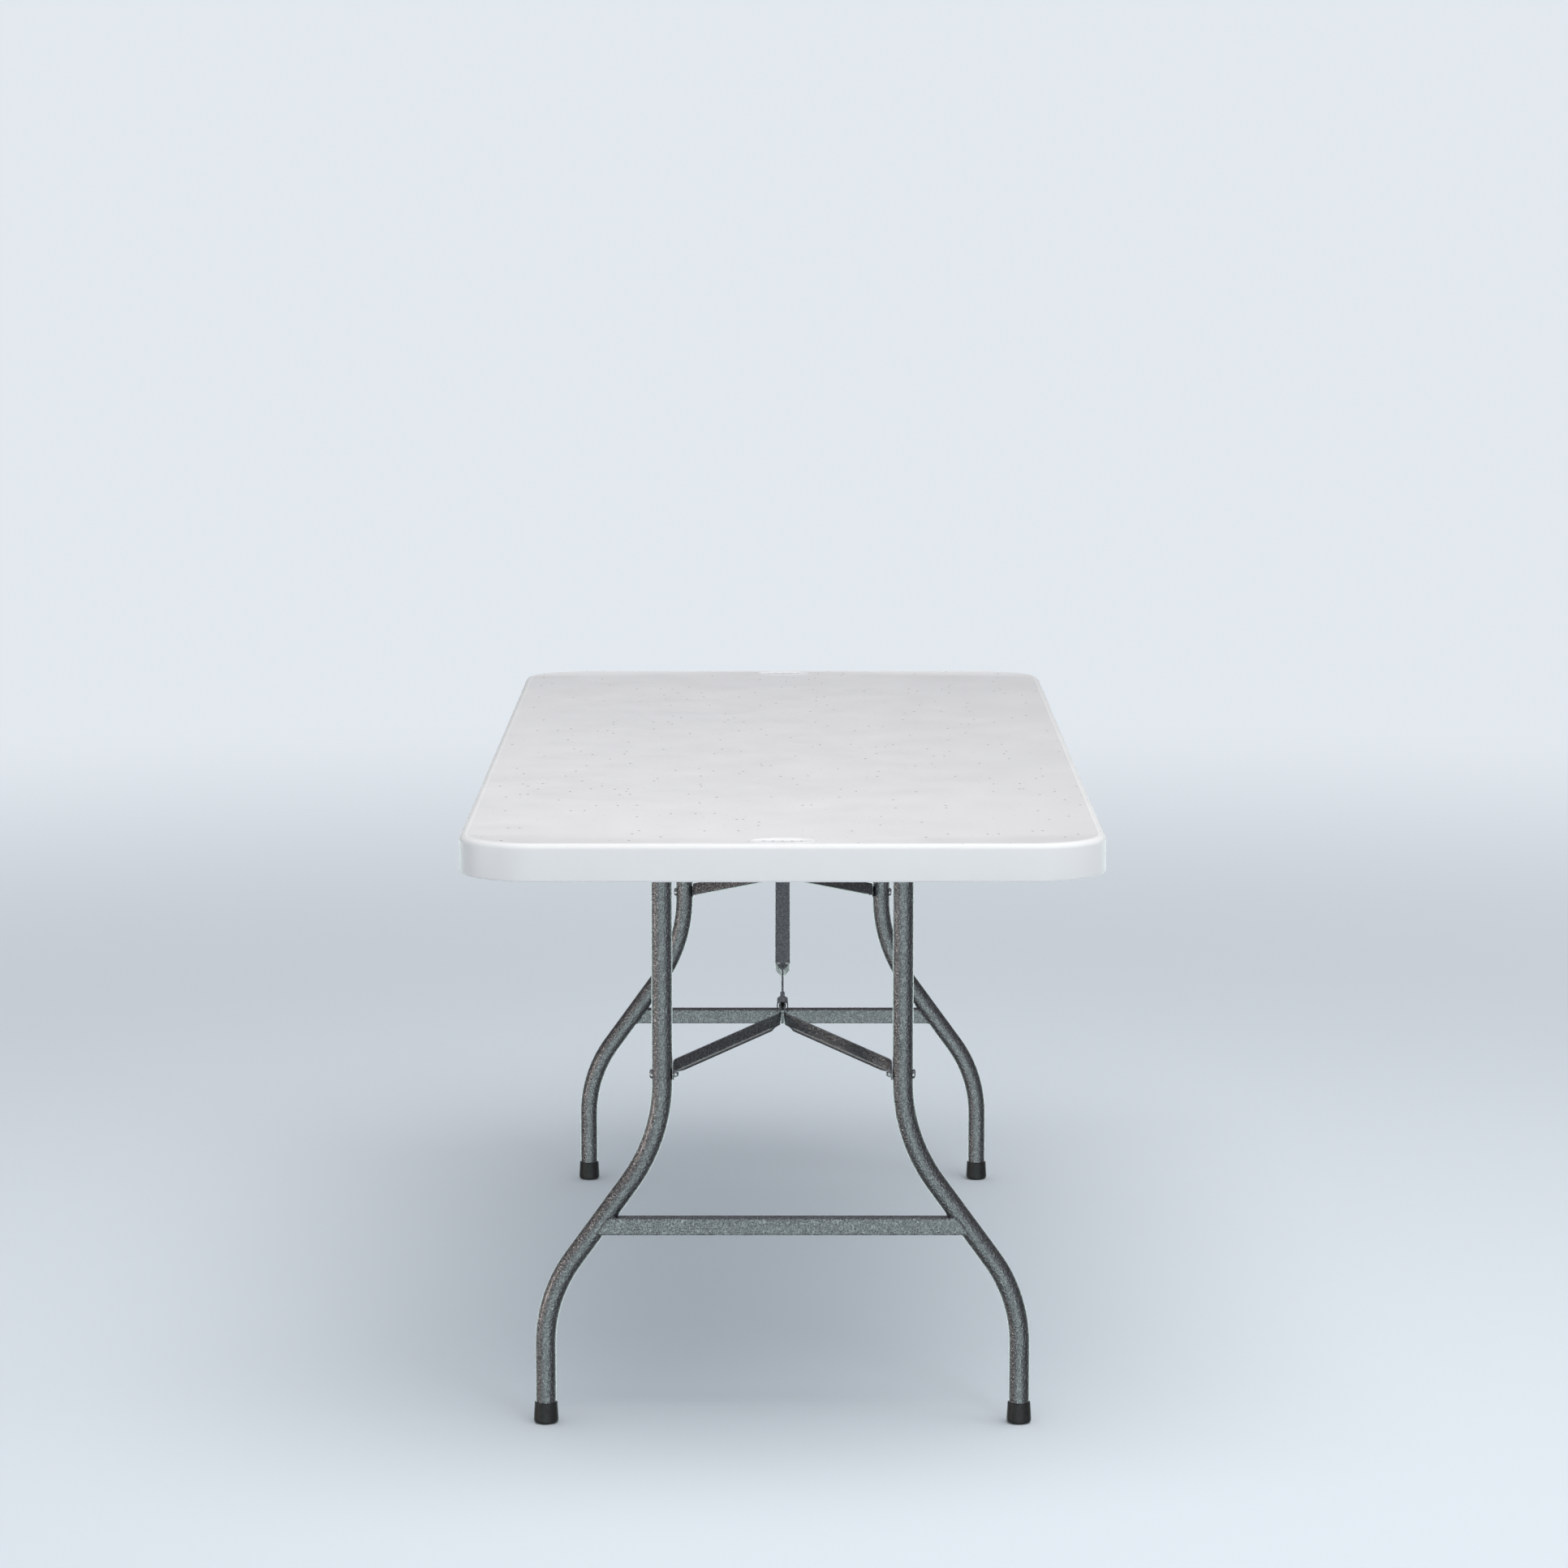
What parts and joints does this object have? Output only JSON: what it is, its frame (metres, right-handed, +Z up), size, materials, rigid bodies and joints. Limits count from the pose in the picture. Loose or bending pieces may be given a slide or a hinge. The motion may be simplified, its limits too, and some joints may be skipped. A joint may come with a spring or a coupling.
{
  "type": "folding table",
  "caption": "Long white folding table with a rounded moulded top on two folding S-bent steel legs, each held open by a V brace and a centre link with a sliding lock.",
  "frame": {"origin": "on the floor under the middle of the top, legs open", "axes": "+X across the table, +Y along it towards the rear leg, +Z up"},
  "size_m": [0.762, 1.829, 0.737],
  "materials": {
    "top_plastic": "white blow-moulded polyethylene, fine pebble grain with sparse grey speckles",
    "pad_plastic": "satin pale grey",
    "hammered_steel": "dark grey hammertone powder coat",
    "foot_rubber": "moulded black, low sheen",
    "bushing_plastic": "black moulded",
    "zinc_hardware": "bright zinc plate"
  },
  "bodies": {
    "table": {"tabletop": "top_plastic", "front_end_pad": "pad_plastic", "rear_end_pad": "pad_plastic", "side_rail_left": "hammered_steel", "side_rail_right": "hammered_steel", "centre_crossbar": "hammered_steel", "rail_screw_1": "zinc_hardware", "rail_screw_2": "zinc_hardware", "rail_screw_3": "zinc_hardware", "rail_screw_4": "zinc_hardware", "rail_screw_5": "zinc_hardware", "rail_screw_6": "zinc_hardware", "rail_screw_7": "zinc_hardware", "rail_screw_8": "zinc_hardware", "front_link_bracket": "hammered_steel", "front_link_pin": "zinc_hardware", "front_pivot_bushing_left": "bushing_plastic", "front_pivot_bushing_right": "bushing_plastic", "rear_link_bracket": "hammered_steel", "rear_link_pin": "zinc_hardware", "rear_pivot_bushing_left": "bushing_plastic", "rear_pivot_bushing_right": "bushing_plastic"},
    "front_leg": {"front_pivot_tube": "hammered_steel", "front_cross_rail": "hammered_steel", "front_leg_tube_left": "hammered_steel", "front_leg_tube_right": "hammered_steel", "front_foot_cap_left": "foot_rubber", "front_foot_cap_right": "foot_rubber", "front_brace_bolt_left": "zinc_hardware", "front_brace_bolt_right": "zinc_hardware"},
    "front_link": {"front_link": "hammered_steel"},
    "front_v": {"front_v_rivet": "zinc_hardware", "front_v_arm_left": "hammered_steel", "front_v_arm_right": "hammered_steel", "front_brace_nut_left": "zinc_hardware", "front_brace_nut_right": "zinc_hardware"},
    "front_lock": {"front_lock": "hammered_steel"},
    "rear_leg": {"rear_pivot_tube": "hammered_steel", "rear_cross_rail": "hammered_steel", "rear_leg_tube_left": "hammered_steel", "rear_leg_tube_right": "hammered_steel", "rear_foot_cap_left": "foot_rubber", "rear_foot_cap_right": "foot_rubber", "rear_brace_bolt_left": "zinc_hardware", "rear_brace_bolt_right": "zinc_hardware"},
    "rear_link": {"rear_link": "hammered_steel"},
    "rear_v": {"rear_v_rivet": "zinc_hardware", "rear_v_arm_left": "hammered_steel", "rear_v_arm_right": "hammered_steel", "rear_brace_nut_left": "zinc_hardware", "rear_brace_nut_right": "zinc_hardware"},
    "rear_lock": {"rear_lock": "hammered_steel"}
  },
  "joints": [
    {"name": "front_leg_fold", "type": "hinge", "parent": "table", "child": "front_leg", "pos_m": [0, -0.723, 0.69], "axis": [1, 0, 0], "range_deg": [0, 90]},
    {"name": "front_link_fold", "type": "hinge", "parent": "table", "child": "front_link", "pos_m": [0, -0.04, 0.703], "axis": [1, 0, 0], "range_deg": [-21.8, 0]},
    {"name": "front_v_fold", "type": "hinge", "parent": "front_link", "child": "front_v", "pos_m": [0, -0.57764, 0.4881], "axis": [1, 0, 0], "range_deg": [0, 175.3]},
    {"name": "front_lock_slide", "type": "slide", "parent": "front_link", "child": "front_lock", "axis": [0, 0.9286, 0.3712], "range_m": [0, 0.0441]},
    {"name": "rear_leg_fold", "type": "hinge", "parent": "table", "child": "rear_leg", "pos_m": [0, 0.723, 0.69], "axis": [-1, 0, 0], "range_deg": [0, 90]},
    {"name": "rear_link_fold", "type": "hinge", "parent": "table", "child": "rear_link", "pos_m": [0, 0.04, 0.703], "axis": [-1, 0, 0], "range_deg": [-21.8, 0]},
    {"name": "rear_v_fold", "type": "hinge", "parent": "rear_link", "child": "rear_v", "pos_m": [0, 0.57764, 0.4881], "axis": [-1, 0, 0], "range_deg": [0, 175.3]},
    {"name": "rear_lock_slide", "type": "slide", "parent": "rear_link", "child": "rear_lock", "axis": [0, -0.9286, 0.3712], "range_m": [0, 0.0441]}
  ],
  "couplings": [
    {"joint": "front_link_fold", "follows": "front_leg_fold", "ratio": -0.24208},
    {"joint": "front_v_fold", "follows": "front_leg_fold", "ratio": 1.9471},
    {"joint": "front_lock_slide", "follows": "front_leg_fold", "m_per_rad": 0.028011},
    {"joint": "rear_link_fold", "follows": "rear_leg_fold", "ratio": -0.24208},
    {"joint": "rear_v_fold", "follows": "rear_leg_fold", "ratio": 1.9471},
    {"joint": "rear_lock_slide", "follows": "rear_leg_fold", "m_per_rad": 0.028011}
  ]
}
